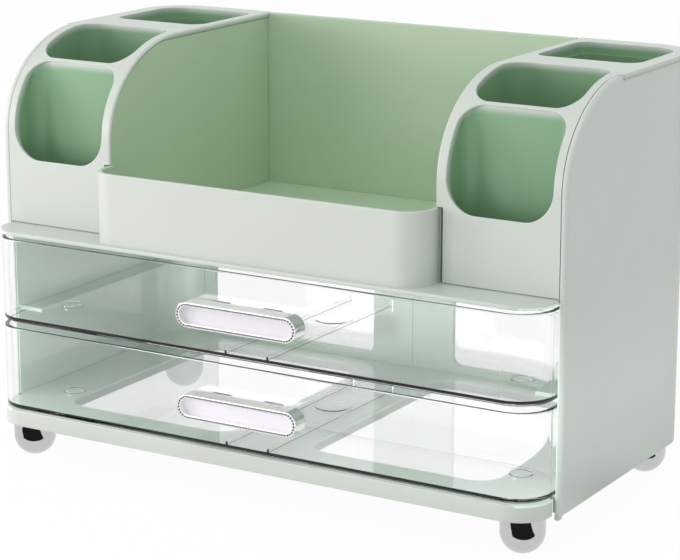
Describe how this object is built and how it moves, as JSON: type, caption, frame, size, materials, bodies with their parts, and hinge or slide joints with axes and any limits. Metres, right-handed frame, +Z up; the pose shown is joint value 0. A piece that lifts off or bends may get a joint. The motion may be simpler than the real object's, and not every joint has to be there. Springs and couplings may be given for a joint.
{
  "type": "brush holder with drawer",
  "caption": "Desktop cosmetics organiser with brush wells in rounded side towers, an open centre tray and clear sliding drawers on domed feet.",
  "frame": {"origin": "on the standing surface, under the middle of the overall width and depth", "axes": "+Z up, +Y to the back, +X to the right as seen from the front; the drawers slide out along -Y"},
  "size_m": [0.3212, 0.1802, 0.217],
  "materials": {
    "mint_plastic": "satin moulded mint green",
    "clear_plastic": "polished clear moulding",
    "foot_chrome": "bright plated",
    "stem_steel": "plain",
    "pull_chrome": "bright plated",
    "pale_insert": "pearl, nearly white",
    "dark_plastic": "dark, hidden behind the pull"
  },
  "bodies": {
    "cabinet": {"right_side_panel": "mint_plastic", "left_side_panel": "mint_plastic", "back_panel": "mint_plastic", "compartment_back_wall": "mint_plastic", "roof_plate": "mint_plastic", "base_frame": "mint_plastic", "right_drawer_runner": "mint_plastic", "left_drawer_runner": "mint_plastic", "right_brush_tower": "mint_plastic", "left_brush_tower": "mint_plastic", "right_compartment_wall": "mint_plastic", "left_compartment_wall": "mint_plastic", "centre_tray": "mint_plastic", "front_right_foot": "foot_chrome", "front_left_foot": "foot_chrome", "rear_right_foot": "foot_chrome", "rear_left_foot": "foot_chrome", "front_right_foot_stem": "stem_steel", "front_left_foot_stem": "stem_steel", "rear_right_foot_stem": "stem_steel", "rear_left_foot_stem": "stem_steel"},
    "upper_drawer": {"upper_drawer_tub": "clear_plastic", "upper_pull_rim": "pull_chrome", "upper_pull_bead_line": "pull_chrome", "upper_pull_plate": "pale_insert", "upper_pull_backing": "dark_plastic"},
    "lower_drawer": {"lower_drawer_tub": "clear_plastic", "lower_pull_rim": "pull_chrome", "lower_pull_bead_line": "pull_chrome", "lower_pull_plate": "pale_insert", "lower_pull_backing": "dark_plastic"}
  },
  "joints": [
    {"name": "upper_drawer_slide", "type": "slide", "parent": "cabinet", "child": "upper_drawer", "axis": [0, -1, 0], "range_m": [0, 0.12]},
    {"name": "lower_drawer_slide", "type": "slide", "parent": "cabinet", "child": "lower_drawer", "axis": [0, -1, 0], "range_m": [0, 0.12]}
  ]
}
